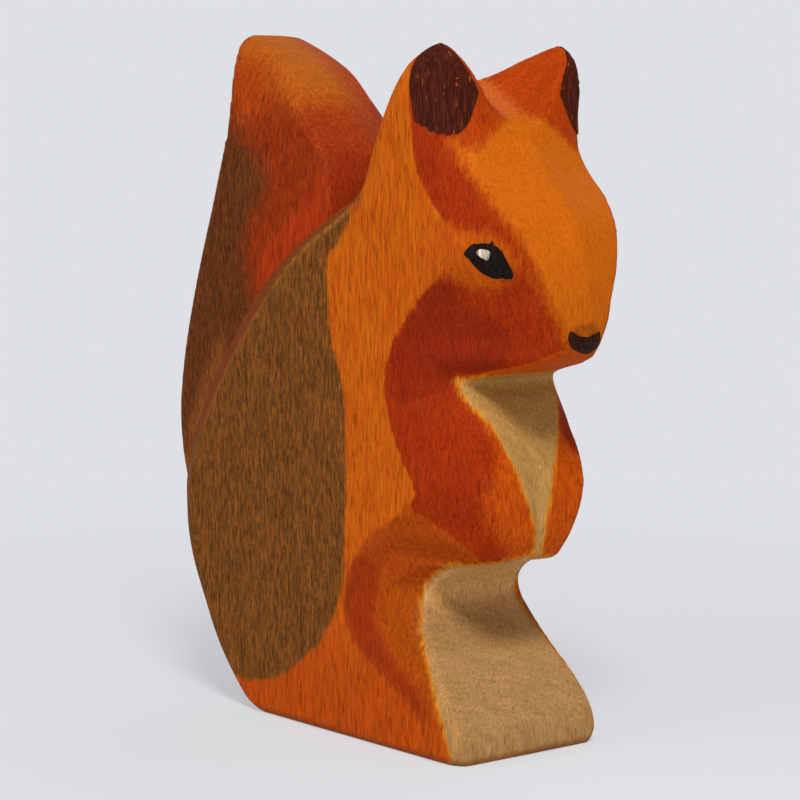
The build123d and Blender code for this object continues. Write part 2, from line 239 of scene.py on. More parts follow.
def merged_copy(node_name, piece_name):
    """A copy of a CAD node whose loose triangles are joined into one skin."""
    piece = bpy.data.objects.new(piece_name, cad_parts[node_name].data.copy())
    bpy.context.scene.collection.objects.link(piece)
    piece.data.materials.clear()
    only(piece)
    bpy.ops.object.mode_set(mode="EDIT")
    bpy.ops.mesh.select_all(action="SELECT")
    bpy.ops.mesh.remove_doubles(threshold=same_place)
    bpy.ops.object.mode_set(mode="OBJECT")
    return piece


def sanded(piece, face_size, strokes):
    """Gives a piece even faces and wears its edges down."""
    modify(piece, "REMESH", mode="VOXEL", voxel_size=face_size)
    modify(piece, "SMOOTH", factor=wear, iterations=strokes)
    bpy.ops.object.shade_smooth()
    print(piece.name, len(piece.data.vertices), "points")
    return piece


def places_of(piece):
    """The places of a mesh's points, in millimetres."""
    places = np.zeros(len(piece.data.vertices) * 3, np.float32)
    piece.data.vertices.foreach_get("co", places)
    return places.reshape(-1, 3).astype(float) / MM


face_size = 0.40 * MM
body_wood = sanded(merged_copy("body", "body_wood"), face_size, strokes=5)

# %% [markdown]
# The tail is glued to the back of the block. Two sanded pieces would show a groove where they
# meet, so the seat of the tail is first drawn out a little way into the block, where it can't be
# seen. The seat faces are found by their distance from the block. The tail's top was worn rounder
# than the rest, so a vertex group there takes many more strokes of smoothing.

# %% Tail
seat_depth = 1.6 * MM
touching = 0.02 * MM
tail_wood = merged_copy("tail", "tail_wood")
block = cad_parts["body"].data
block_skin = BVHTree.FromPolygons([point.co for point in block.vertices],
                                  [face.vertices for face in block.polygons])
for vertex in tail_wood.data.vertices:
    vertex.select = False
for edge in tail_wood.data.edges:
    edge.select = False
for face in tail_wood.data.polygons:
    face.select = block_skin.find_nearest(face.center)[3] < touching
print("seat faces:", sum(face.select for face in tail_wood.data.polygons))
only(tail_wood)
bpy.ops.object.mode_set(mode="EDIT")
bpy.ops.mesh.select_mode(type="FACE")
bpy.ops.mesh.extrude_region_move(TRANSFORM_OT_translate={"value": (seat_depth, 0.0, 0.0)})
bpy.ops.object.mode_set(mode="OBJECT")
sanded(tail_wood, face_size, strokes=6)

# The rounding grows with the height, and from the back edge forwards or from the middle to the left
top_from, top_full = 74.0, 82.0
ahead_from, ahead_full = -23.5, -19.5
left_full = 3.0
rounding = tail_wood.vertex_groups.new(name="top")
for vertex in tail_wood.data.vertices:
    x, y, z = vertex.co / MM
    ahead = (x - ahead_from) / (ahead_full - ahead_from)
    share = min((z - top_from) / (top_full - top_from), max(ahead, y / left_full), 1.0)
    if share > 0:
        rounding.add([vertex.index], share, "REPLACE")
modify(tail_wood, "SMOOTH", vertex_group=rounding.name, factor=wear, iterations=60)
print("tail rounded at the top and drawn", seat_depth / MM, "mm into the block")

# %% [markdown]
# The stains lie side by side in clear fields, as a painter fills a drawing: grey brown on the
# back, brick red on face and arms, bare wood on chest and lap. A painted image would fix how sharp
# each border is, so a field is an outline drawn instead, in millimetres. For each point of the
# mesh the script stores how deep it lies inside the outline. The material turns that depth into a
# border, crisp or soft and as uneven as a brush leaves it, much finer than the mesh itself.

# %% Depth inside an outline
tiny = 1e-9


def flowing(points, steps=5):
    """A closed line that flows through given points, as a Catmull-Rom curve does."""
    here = np.array(points, float)
    back, ahead, beyond = np.roll(here, 1, 0), np.roll(here, -1, 0), np.roll(here, -2, 0)
    spans = []
    for t in np.arange(steps) / steps:
        spans.append(here + (ahead - back) * t / 2
                     + (2 * back - 5 * here + 4 * ahead - beyond) * t**2 / 2
                     + (3 * here - back - 3 * ahead + beyond) * t**3 / 2)
    return np.stack(spans, 1).reshape(-1, 2)


def depth_inside(places, outline):
    """How deep each place lies inside an outline, and less than zero outside it."""
    starts = flowing(outline)
    nearest = np.full(len(places), np.inf)
    inside = np.zeros(len(places), bool)
    for start, end in zip(starts, np.roll(starts, -1, 0)):
        edge = end - start
        along = np.clip(((places - start) @ edge) / (edge @ edge), 0, 1)
        gap = places - start - along[:, None] * edge
        nearest = np.minimum(nearest, np.hypot(gap[:, 0], gap[:, 1]))
        crossed = (start[1] > places[:, 1]) != (end[1] > places[:, 1])
        rise = edge[1] or tiny
        inside ^= crossed & (places[:, 0] < start[0] + (places[:, 1] - start[1]) * edge[0] / rise)
    return np.where(inside, nearest, -nearest)


def store(piece, name, values):
    """Keeps one number for each point of a mesh, for its material to read."""
    layer = piece.data.attributes.new(name, "FLOAT", "POINT")
    layer.data.foreach_set("value", np.asarray(values, np.float32))


square = [(0, 0), (2, 0), (2, 2), (0, 2)]
print("depth in the middle of a 2 mm square:", depth_inside(np.array([[1.0, 1.0]]), square).round(2))

# %% [markdown]
# Most borders of the stain lie on the flanks, so they are drawn on the side view, and both flanks
# get the same. In the material a later field lies over an earlier one, so an outline runs on under
# its neighbour, or past the wood, wherever its own border doesn't show.

# %% Fields seen from the side
side_fields = {
    # place along the figure, height
    "back_field": [
        (6.8, 67.6), (4.2, 63.6), (1.8, 61.2), (1.9, 57.0), (2.4, 51.6), (4.4, 47.0), (5.3, 43.0),
        (5.5, 36.0), (5.2, 25.0), (4.2, 18.2), (0.8, 12.6), (-3.6, 8.9), (-8.2, 5.9), (-12.7, 4.5),
        (-17.4, 4.0), (-23.0, 6.0), (-29.0, 12.0), (-33.5, 20.0), (-34.5, 28.0), (-31.0, 34.0),
        (-25.4, 38.5), (-22.6, 43.6), (-17.5, 49.4), (-13.2, 54.2), (-9.5, 58.8), (-3.2, 63.5),
        (2.5, 66.2),
    ],
    "shoulder_field": [
        (8.6, 69.2), (6.0, 67.3), (2.2, 65.3), (-3.2, 62.4), (-8.4, 58.4), (-12.9, 54.0), (-17.5, 49.0),
        (-21.6, 44.0), (-24.9, 39.0), (-27.7, 34.0), (-30.0, 29.0), (-33.0, 26.0), (-42.0, 30.0),
        (-30.0, 52.0), (-12.0, 68.0), (4.0, 72.0),
    ],
    "red_field": [
        (18.0, 84.5), (18.2, 80.0), (18.5, 77.4), (18.9, 74.8), (19.8, 72.0), (21.6, 69.5), (23.7, 67.3),
        (24.8, 65.6), (25.4, 63.2), (24.9, 61.2), (22.8, 59.2), (20.2, 57.1), (18.2, 55.2), (16.3, 53.2),
        (14.8, 51.1), (13.6, 48.8), (13.3, 46.7), (13.4, 44.4), (14.2, 41.5), (15.6, 38.6), (17.0, 36.4),
        (18.4, 34.6), (18.9, 33.0), (18.4, 31.2), (20.0, 30.1), (21.6, 28.9), (24.0, 27.1), (25.3, 25.3),
        (26.0, 22.0), (34.0, 22.0), (34.0, 40.0), (42.0, 45.0), (42.0, 66.0), (38.0, 74.0), (34.0, 80.0),
        (30.0, 86.0), (24.0, 90.0), (19.0, 89.0),
    ],
    "forearm_field": [
        (18.4, 31.2), (20.0, 30.1), (21.6, 28.9), (24.0, 27.1), (25.3, 25.3), (26.0, 22.0), (30.0, 22.0),
        (30.0, 32.5), (21.0, 33.5),
    ],
    "eye_field": [
        (24.2, 66.6), (27.0, 65.6), (30.0, 65.3), (32.0, 64.4), (33.2, 62.8), (33.2, 61.0), (32.2, 59.6),
        (30.4, 58.7), (28.2, 58.4), (26.2, 58.9), (24.6, 59.9), (22.4, 59.8), (20.0, 62.0), (21.0, 66.0),
    ],
    # Painted shade: a darker patch in the lap's hollow below the paws, where their shadow falls
    "hollow_shade_field": [
        (16.0, 18.4), (17.4, 18.0), (18.6, 17.2), (20.0, 15.2), (20.8, 13.6), (19.6, 12.8), (18.0, 14.2),
        (16.6, 15.4),
    ],
    "deep_field": [
        (24.0, 59.6), (20.4, 56.8), (16.7, 53.2), (14.3, 49.4), (14.0, 46.2), (16.0, 44.0), (21.0, 45.4),
        (24.2, 47.2), (28.0, 48.6), (30.0, 50.0), (30.6, 52.4), (29.6, 54.6), (27.6, 55.4), (25.6, 56.8),
    ],
    "thigh_field": [
        (18.6, 31.4), (15.8, 29.7), (11.0, 27.2), (7.8, 24.2), (5.6, 20.8), (4.9, 17.7), (5.4, 15.4),
        (6.9, 13.4), (9.8, 11.0), (13.8, 9.0), (18.2, 6.6), (20.4, 5.2), (22.2, 4.4), (22.8, 6.0),
        (22.0, 9.0), (23.0, 14.0), (24.0, 20.0), (29.0, 23.5), (27.0, 27.0),
    ],
    "band_field": [
        (8.4, 24.0), (6.0, 20.8), (5.2, 17.7), (5.8, 15.4), (7.3, 13.2), (10.0, 10.9), (13.8, 8.8),
        (18.2, 6.4), (21.0, 5.2), (20.5, 7.5), (16.5, 10.2), (13.0, 12.6), (11.0, 15.4), (10.4, 18.6),
        (10.8, 22.5),
    ],
    "knee_field": [
        (12.4, 20.6), (14.0, 21.6), (16.2, 21.2), (19.5, 20.6), (24.0, 21.0), (31.0, 10.0), (31.0, 0.0),
        (26.5, 1.0), (23.2, 6.0), (21.0, 8.2), (18.4, 10.2), (15.4, 12.2), (12.9, 14.2), (11.8, 16.4),
        (11.7, 18.6),
    ],
}

places = places_of(body_wood)
from_side = places[:, [0, 2]]
for name, outline in side_fields.items():
    store(body_wood, name, depth_inside(from_side, outline))
print("fields from the side:", ", ".join(side_fields))

# %% [markdown]
# Forehead, ears and chin face forwards, so their borders are drawn on the front view. There a place
# is given by its distance from the middle, which makes both sides alike. Each field has a rear end
# as well, or it would come out again on the back of the head.

# %% Fields seen from the front
front_fields = {
    # distance from the middle, height
    "brow_field": [
        (-4.0, 50.4), (1.6, 50.8), (2.8, 52.0), (3.5, 53.8), (4.5, 55.8), (5.6, 58.6), (7.0, 61.9),
        (7.9, 64.5), (8.8, 66.8), (9.4, 69.2), (9.6, 71.5), (9.9, 74.0), (10.2, 76.0), (9.4, 75.4),
        (8.2, 75.2), (6.8, 76.0), (4.9, 77.5), (3.2, 78.6), (1.2, 79.4), (-4.0, 79.8),
    ],
    "ear_field": [
        (-4.0, 79.4), (1.2, 79.2), (3.2, 78.4), (4.9, 77.3), (6.8, 75.8), (8.4, 75.2), (9.8, 75.8),
        (10.5, 78.0), (10.6, 82.0), (10.2, 86.0), (9.6, 90.0), (-4.0, 94.0),
    ],
    "chin_field": [
        (-4.0, 51.6), (1.2, 51.4), (2.6, 51.4), (3.6, 50.8), (4.4, 50.0), (5.2, 49.2), (6.2, 48.2),
        (7.4, 47.5), (7.9, 47.1), (4.0, 47.2), (-4.0, 47.2),
    ],
    "valley_field": [
        (-4.0, 78.6), (1.0, 78.8), (1.8, 80.0), (2.2, 82.0), (1.8, 84.4), (-4.0, 85.0),
    ],
    "smear_field": [
        (-4.0, 52.8), (1.6, 52.8), (2.1, 53.3), (1.7, 54.1), (0.8, 54.5), (-4.0, 54.4),
    ],
}
rear_ends = {"brow_field": 20.0, "ear_field": 8.0, "chin_field": 22.0, "valley_field": 12.0,
             "smear_field": 30.0}
from_front = np.stack([abs(places[:, 1]), places[:, 2]], 1)
for name, outline in front_fields.items():
    depth = depth_inside(from_front, outline)
    store(body_wood, name, np.minimum(depth, places[:, 0] - rear_ends[name]))
print("fields from the front:", ", ".join(front_fields))

# %% [markdown]
# Paws and chest differ a little from side to side, so they are drawn across the whole width. The
# bare lap is a hollow that turns from the front to the side, and is drawn on a view between the
# two. Two paler fields in it are painted light: one on its far side, where it catches the light,
# and one on its upper wall, under the paws.

# %% Paws, chest and lap
# Place across the figure, height
paw_outline = [
    (-2.9, 23.0), (-3.9, 25.1), (-5.4, 26.9), (-6.6, 28.7), (-7.5, 30.8), (-7.9, 32.9), (-7.4, 34.7),
    (-6.3, 36.4), (-5.6, 38.1), (-5.6, 39.9), (-6.5, 42.3), (-7.2, 44.4), (-5.0, 45.0), (0.0, 45.0),
    (4.0, 44.0), (5.2, 41.6), (6.4, 39.0), (7.6, 37.0), (9.2, 34.8), (10.5, 30.0), (9.6, 26.0),
    (7.0, 23.0),
]
bib_outline = [
    (-7.7, 46.7), (-7.5, 45.2), (-7.2, 44.1), (-6.4, 43.1), (-5.6, 41.9), (-4.7, 39.9), (-4.0, 38.0),
    (-3.2, 36.1), (-2.4, 33.8), (-1.6, 31.8), (-0.8, 29.8), (-0.1, 27.8), (0.2, 25.9), (0.2, 24.3),
    (0.1, 22.4), (1.6, 22.4), (1.3, 24.6), (1.0, 26.5), (1.0, 28.4), (1.3, 30.9), (2.0, 33.3),
    (2.7, 35.6), (3.5, 37.4), (4.3, 39.2), (5.1, 41.0), (5.8, 42.8), (6.5, 44.6), (7.2, 46.3),
    (7.4, 47.3), (4.0, 47.4), (0.0, 47.4), (-4.0, 47.4), (-7.0, 47.1),
]
# Painted light on the far side of the lap's hollow, under the paws
far_light_outline = [(4.4, 19.0), (9.6, 19.0), (9.4, 14.6), (7.4, 13.8), (6.0, 14.4), (5.0, 15.8)]

# Place across the turned view, height
lap_outline = [
    (5.0, 20.2), (4.7, 18.9), (4.6, 17.2), (4.7, 15.4), (5.0, 13.4), (5.4, 11.6), (6.0, 9.2),
    (6.7, 6.6), (7.4, 3.8), (8.1, 0.8), (8.6, -3.0), (30.0, -3.0), (30.0, 23.8), (9.4, 23.8),
    (8.0, 23.4), (6.7, 22.6), (5.7, 21.5),
]
lap_turn = math.radians(39)
lap_middle = -0.9
paw_rear_end = 22.0
bib_rear_end = 18.0
wall_foot = 17.5

paw_depth = depth_inside(places[:, 1:], paw_outline)
store(body_wood, "paw_field", np.minimum(paw_depth, places[:, 0] - paw_rear_end))
bib_depth = depth_inside(places[:, 1:], bib_outline)
store(body_wood, "bib_field", np.minimum(bib_depth, places[:, 0] - bib_rear_end))
across = places[:, 0] * math.sin(lap_turn) - abs(places[:, 1] - lap_middle) * math.cos(lap_turn)
lap_depth = depth_inside(np.stack([across, places[:, 2]], 1), lap_outline)
store(body_wood, "lap_field", lap_depth)

# The painted light ends where the lap does. This depth rises so fast that it counts at that border only
rise_share, set_back = 8, 2
within_lap = rise_share * lap_depth - set_back
far_light_depth = depth_inside(places[:, 1:], far_light_outline)
store(body_wood, "far_light_field", np.minimum(within_lap, far_light_depth))
# Painted light on the lap's upper wall, under the paws
store(body_wood, "wall_light_field", np.minimum(within_lap, places[:, 2] - wall_foot))
print("points on the bare lap:", int((lap_depth > 0).sum()))

# %% [markdown]
# The tail goes from yellow brown at its top through orange and red to a dark brown back edge, in
# wide soft borders. They are drawn on the side view as well. Only the yellow brown of the top stops
# short of the left side.

# %% Fields on the tail
tail_fields = {
    # place along the figure, height
    "warm_field": [
        (-28.0, 92.0), (-26.0, 80.0), (-22.5, 78.5), (-18.0, 80.5), (-14.0, 81.0), (-10.5, 80.5),
        (-6.0, 84.0), (-10.0, 95.0),
    ],
    "top_field": [
        (-23.5, 88.0), (-20.5, 87.5), (-17.5, 85.5), (-14.0, 83.0), (-11.2, 81.6), (-10.0, 82.6),
        (-9.6, 85.0), (-8.5, 87.0), (-10.0, 95.0), (-25.0, 95.0),
    ],
    "dark_field": [
        (-25.0, 79.0), (-22.0, 76.4), (-19.0, 74.4), (-17.4, 71.6), (-17.8, 68.6), (-19.6, 66.0),
        (-21.2, 63.0), (-21.6, 60.0), (-20.5, 57.0), (-18.5, 54.5), (-16.0, 50.0), (-14.0, 20.0),
        (-45.0, 20.0), (-45.0, 60.0), (-34.0, 80.0), (-28.0, 82.0),
    ],
    "seam_field": [
        (-27.0, 49.5), (-29.5, 46.5), (-31.4, 43.6), (-33.2, 40.4), (-34.8, 36.0), (-36.6, 30.0),
        (-31.0, 30.0), (-29.0, 38.0), (-26.0, 45.0),
    ],
    "glow_field": [
        (-18.6, 58.6), (-17.4, 61.6), (-13.5, 64.6), (-10.4, 67.2), (-7.8, 69.6), (-5.4, 71.6),
        (-3.7, 71.0), (-3.2, 68.0), (-3.0, 62.0), (-10.0, 56.0), (-18.0, 50.0), (-20.0, 54.0),
    ],
    "face_field": [
        (-10.4, 80.8), (-9.0, 79.0), (-7.5, 77.4), (-6.0, 75.6), (-4.7, 73.0), (-4.0, 70.4),
        (-3.8, 67.8), (-4.0, 60.0), (6.0, 60.0), (6.0, 78.0), (-2.0, 82.0),
    ],
    "right_field": [
        (-11.5, 83.5), (-9.6, 81.4), (-7.0, 79.4), (-5.0, 77.6), (-3.2, 76.0), (4.0, 76.0), (4.0, 86.0),
        (-8.0, 88.0),
    ],
}
top_left_end = 1.5
places = places_of(tail_wood)
for name, outline in tail_fields.items():
    depth = depth_inside(places[:, [0, 2]], outline)
    if name == "top_field":
        depth = np.minimum(depth, top_left_end - places[:, 1])
    store(tail_wood, name, depth)
print("fields on the tail:", len(tail_fields))

# %% [markdown]
# Sandpaper rubs the stain thin on every edge, and the wood shines through. Blender's own
# Pointiness finds such edges in one render engine alone, so the script measures on the mesh how the
# wood turns at each point, and stores that for the material too.

# %% Worn edges
def store_edges(piece, rounds=3):
    """Keeps how sharply the wood turns at each point: above zero on an edge, below in a hollow."""
    mesh = piece.data
    count = len(mesh.vertices)
    ends = np.zeros(len(mesh.edges) * 2, np.int64)
    mesh.edges.foreach_get("vertices", ends)
    first, second = ends[0::2], ends[1::2]
    neighbours = np.bincount(first, minlength=count) + np.bincount(second, minlength=count)

    def average(values):
        total = np.bincount(first, values[second], count) + np.bincount(second, values[first], count)
        return total / neighbours

    places = places_of(piece)
    normals = np.zeros(count * 3, np.float32)
    mesh.vertices.foreach_get("normal", normals)
    normals = normals.reshape(-1, 3)
    pull = np.stack([places[:, axis] - average(places[:, axis]) for axis in range(3)], 1)
    turn = (pull * normals).sum(1)
    for _ in range(rounds):
        turn = average(turn)
    store(piece, "edge", turn)
    print(piece.name, "edge values, low and high:", np.percentile(turn, (2, 98)).round(4))


store_edges(body_wood)
store_edges(tail_wood)

# %% [markdown]
# Beech has a plain straight grain. What gives it away are the rays, which show on the side of a
# board as thin dark dashes a millimetre or two long. The growth rings run along with them as faint
# streaks. The noise patterns below are stretched along the height, the way the grain runs, so that
# the same pattern gives dashes on the upright faces and dots on faces that cut across the grain.

# %% Beech grain
def grain(tree, seed):
    """The patterns that all the wood shares, each from 0 to 1. Sizes are in millimetres."""
    place = add(tree, "TexCoord").outputs["Object"]

    def pattern(width, height, detail=2.0, rough=0.5, depth=None, turn=0.0):
        scale = (1 / (width * MM), 1 / ((depth or width) * MM), 1 / (height * MM))
        turned = add(tree, "Mapping", {"Vector": place, "Rotation": (0.0, 0.0, turn)})
        turned = add(tree, "Mapping", {"Vector": turned, "Scale": scale, "Location": (seed, seed, seed)})
        return add(tree, "TexNoise", {"Vector": turned, "Scale": 1.0, "Detail": detail,
                                      "Roughness": rough}).outputs[0]

    return {
        "place": place,
        "rays": pattern(0.26, 1.7, 1.0),
        "fibres": pattern(0.20, 2.6, 2.0, 0.6),
        "rings": pattern(0.45, 5.0, 2.0, 0.6, depth=5.0, turn=math.radians(14)),
        "pores": pattern(0.16, 0.30, 1.0),
        "mottle": pattern(0.30, 1.2, 4.0, 0.7),
        "brush": pattern(0.6, 1.8, 3.0, 0.6),
    }


print("grain patterns ready")

# %% [markdown]
# A material here is a stack: a colour, over it another one with a share for each place, and so on.
# A few small functions build that stack, so that each finish below is a short list of layers.

# %% Layers
def stretch(tree, value, low, high, bottom=0.0, top=1.0):
    """A value moved from one range to another, smoothly, and kept inside it."""
    return add(tree, "MapRange", {"Value": value, "From Min": low, "From Max": high, "To Min": bottom,
                                  "To Max": top}, interpolation_type="SMOOTHSTEP")


def times(tree, first, second):
    """One value times another."""
    return add(tree, "Math", {0: first, 1: second}, operation="MULTIPLY")


def grey(tree, value):
    """A grey of the given brightness."""
    return add(tree, "CombineColor", {0: value, 1: value, 2: value})


def layer(tree, under, over, share, blend="MIX"):
    """One colour laid over another. A Mix node's sockets 6 and 7 are the colours under and over."""
    return add(tree, "Mix", {0: share, 6: under, 7: over}, data_type="RGBA", blend_type=blend)


def two_tone(tree, wood, thin, thick):
    """A stain's thin and thick tone, mixed by the mottled pattern."""
    return layer(tree, stain(thin), stain(thick), stretch(tree, wood["mottle"], 0.36, 0.64))


def sway(tree, pattern, amount, low=0.32, high=0.68):
    """A pattern as a factor that sways about one."""
    return stretch(tree, pattern, low, high, 1 - amount, 1 + amount)


def field_share(tree, wood, name, softness, raggedness, reach=0.0):
    """How much of a field's stain a place has: its border wanders as a brush leaves it."""
    depth = add(tree, "Attribute", attribute_name=name).outputs["Fac"]
    depth = add(tree, "Math", {0: depth, 1: reach})
    wander = add(tree, "MapRange", {"Value": wood["brush"], "From Min": 0.3, "From Max": 0.7,
                                    "To Min": -raggedness, "To Max": raggedness})
    return stretch(tree, add(tree, "Math", {0: depth, 1: wander}), -softness, softness)


def relief(tree, shader, height, strength, depth):
    """Makes the surface look uneven by a height from 0 to 1."""
    bump = add(tree, "Bump", {"Height": height, "Strength": strength, "Distance": depth})
    tree.links.new(bump.outputs[0], shader.inputs["Normal"])


print("layer functions ready")

# %% [markdown]
# Grain shows through a water stain everywhere, but less under a second coat. So the finish takes
# the colour of the stains and a value for how calm each place is, wears the edges, and lays fibres,
# rings, pores and rays over it. The light oil on it gives hardly any gloss.

# %% Wood finish
ring_sway, fibre_sway, pore_sway = 0.12, 0.16, 0.06
ray_share = 0.45
calm_loss = 0.75
edge_from, edge_full = 0.006, 0.030
relief_depth = 0.05 * MM


def wood_finish(tree, shader, wood, colour, calm, edge_colour, edge_share):
    """Lays the grain over the stains, and sets the sheen of oiled wood."""
    edge = add(tree, "Attribute", attribute_name="edge").outputs["Fac"]
    worn = stretch(tree, edge, edge_from, edge_full)
    worn = times(tree, worn, stretch(tree, wood["brush"], 0.35, 0.6))
    colour = layer(tree, colour, edge_colour, times(tree, worn, edge_share))
    rings = sway(tree, wood["rings"], ring_sway)
    fibres = sway(tree, wood["fibres"], fibre_sway)
    pores = sway(tree, wood["pores"], pore_sway, 0.3, 0.7)
    lively = add(tree, "Math", {0: calm, 1: -calm_loss, 2: 1.0}, operation="MULTIPLY_ADD")
    colour = layer(tree, colour, grey(tree, times(tree, rings, fibres)), lively, "MULTIPLY")
    colour = layer(tree, colour, grey(tree, pores), 1.0, "MULTIPLY")
    rays = times(tree, stretch(tree, wood["rays"], 0.56, 0.68, 0.0, ray_share), lively)
    colour = layer(tree, colour, stain("#a05426"), rays, "MULTIPLY")
    tree.links.new(colour.outputs[2], shader.inputs["Base Color"])
    height = add(tree, "Math", {0: times(tree, wood["fibres"], 0.5), 1: rays}, operation="SUBTRACT")
    relief(tree, shader, height, 0.5, relief_depth)
    shader.inputs["Roughness"].default_value = 0.7
    shader.inputs["IOR"].default_value = 1.45
    shader.inputs["Specular IOR Level"].default_value = 0.05


print("wood finish ready")

# %% [markdown]
# The block has one orange stain all over, brushed on first, a little redder low down, as if the
# stain ran down to the foot. The rings of the wood take it up unevenly.

# %% Ground stain of the block
low_from, low_full = 22 * MM, 4 * MM
material, tree, shader = new_material("stained_beech")
wood = grain(tree, seed=0.0)
height = add(tree, "SeparateXYZ", {0: wood["place"]}).outputs["Z"]

colour = layer(tree, stain("#c26008"), stain("#ad4a07"), stretch(tree, wood["rings"], 0.38, 0.62))
colour = layer(tree, colour, stain("#ae4607"), stretch(tree, height, low_from, low_full))
print("ground stain laid")

# %% [markdown]
# The other fields go over it. A thin second stain lets the first shine through, so each field is
# a thin and a thick tone, mixed by a mottled pattern. Chest and lap were left bare: they are plain
# beech under a little oil, with a yellow fringe where the orange stain crept in. Three fields on
# the lap are not stain. Two lighter ones are painted light, on its upper wall and its far side, and
# a darker one is painted shade, in its hollow below the paws.

# %% Fields of stain, painted light and painted shade on the block
fields = [
    # field, thin colour, thick colour, softness, raggedness, most share
    ("shoulder_field", "#843c12", "#663212", 1.3, 0.8, 1.0),
    ("back_field", "#844c18", "#543414", 0.4, 0.3, 1.0),
    ("thigh_field", "#a84608", "#953808", 0.35, 0.25, 1.0),
    ("band_field", "#8e2c08", "#822406", 0.9, 0.4, 0.75),
    ("knee_field", "#a04806", "#903c06", 1.3, 0.8, 1.0),
    ("red_field", "#983006", "#8a2405", 0.25, 0.2, 1.0),
    ("forearm_field", "#983006", "#8a2405", 0.08, 0.12, 1.0),
    ("deep_field", "#862508", "#7c1f07", 0.9, 0.6, 0.9),
    ("eye_field", "#ba560a", "#a84608", 1.1, 0.5, 0.9),
    ("ear_field", "#aa3e05", "#9c3305", 0.9, 0.6, 1.0),
    ("valley_field", "#cc682c", "#c05c20", 1.2, 0.4, 0.7),
    ("brow_field", "#c0620a", "#b45408", 0.9, 0.4, 1.0),
    ("smear_field", "#8a4408", "#6a3008", 0.5, 0.6, 0.6),
    ("chin_field", "#bc4c06", "#a84006", 0.2, 0.10, 1.0),
    ("paw_field", "#c0520a", "#aa3e06", 1.0, 0.5, 1.0),
    ("bib_field", "#b08448", "#a47a40", 0.15, 0.22, 1.0),
    ("lap_field", "#aa8250", "#9e7646", 0.15, 0.22, 1.0),
    # Painted light on the lap's upper wall and on the far side of its hollow
    ("wall_light_field", "#cc9c60", "#b88650", 2.5, 0.2, 1.0),
    ("far_light_field", "#c89a60", "#b68652", 1.6, 0.3, 0.75),
    # Painted shade in the lap's hollow below the paws
    ("hollow_shade_field", "#8a6238", "#6a4426", 1.2, 0.3, 0.3),
]
shares = {}
for name, thin, thick, softness, raggedness, most in fields:
    if name in ("bib_field", "lap_field"):
        fringe = field_share(tree, wood, name, softness=0.55, raggedness=0.35, reach=0.3)
        colour = layer(tree, colour, stain("#cc801c"), fringe)
    tone = two_tone(tree, wood, thin, thick)
    shares[name] = times(tree, field_share(tree, wood, name, softness, raggedness), most)
    colour = layer(tree, colour, tone, shares[name])

sole_from, sole_full, sole_share = 1.3 * MM, 0.2 * MM, 0.6
sole = stretch(tree, height, sole_from, sole_full, 0.0, sole_share)
colour = layer(tree, colour, stain("#6e2c12"), sole)
print("block stained in", len(fields), "fields")

# %% [markdown]
# Face, arms, thigh, chest and lap show less grain than the back, so they are the calm places. Then
# the dressed block takes the place of its CAD node, and rides on the same body.

# %% Finished block
calm = times(tree, shares["red_field"], 0.45)
calm_fields = {"brow_field": 1.0, "thigh_field": 0.5, "bib_field": 0.4, "lap_field": 0.3}
for name, share in calm_fields.items():
    calm = add(tree, "Math", {0: calm, 1: times(tree, shares[name], share)}, operation="MAXIMUM")

# Edges are worn everywhere a little, more on the shoulder, and not on the red
worn_share, more_on_shoulder = 0.25, 0.7
rim = add(tree, "Math", {0: shares["shoulder_field"], 1: more_on_shoulder, 2: worn_share},
          operation="MULTIPLY_ADD")
off_red = add(tree, "Math", {0: 1.0, 1: shares["red_field"]}, operation="SUBTRACT")
wood_finish(tree, shader, wood, colour, calm, stain("#c07a30"), times(tree, rim, off_red))
body_wood.data.materials.append(material)
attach(body_wood, "root")
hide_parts("body")
print("block finished, calm in", len(calm_fields) + 1, "fields")

# %% [markdown]
# The tail is finished in the same way, in redder and darker stains. It comes from another board, so
# its grain is taken from another place in the pattern. Its top and its front face are the calm ones.

# %% Stained beech of the tail
material, tree, shader = new_material("stained_beech_tail")
wood = grain(tree, seed=7.3)
colour = two_tone(tree, wood, "#923409", "#7c2607")
tail_stains = [
    # field, thin colour, thick colour, softness, raggedness
    ("warm_field", "#a44109", "#933408", 2.4, 0.8),
    ("glow_field", "#a43509", "#962c08", 1.2, 0.6),
    ("face_field", "#94300c", "#80240a", 1.8, 0.6),
    ("right_field", "#b44c12", "#a43e0e", 3.2, 0.9),
    ("dark_field", "#6c3612", "#48260e", 2.8, 1.4),
    ("seam_field", "#8a4c20", "#6e3a16", 1.4, 0.6),
    ("top_field", "#ae6018", "#a05212", 3.4, 0.9),
]
for name, thin, thick, softness, raggedness in tail_stains:
    tone = two_tone(tree, wood, thin, thick)
    colour = layer(tree, colour, tone, field_share(tree, wood, name, softness, raggedness))
calm_top = field_share(tree, wood, "top_field", softness=4.0, raggedness=0.5)
calm_face = field_share(tree, wood, "face_field", softness=1.0, raggedness=0.4)
calm_share = 0.75
calm = times(tree, add(tree, "Math", {0: calm_top, 1: calm_face}, operation="MAXIMUM"), calm_share)
wood_finish(tree, shader, wood, colour, calm, stain("#c06a2a"), edge_share=0.12)
tail_wood.data.materials.append(material)
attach(tail_wood, "root")
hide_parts("tail")
print("tail stained in", len(tail_stains), "fields")

# %% [markdown]
# The two pegs that hold the tail are hidden in their bores. Their CAD solids are true enough, so
# they only get a material: bare beech with its rays.

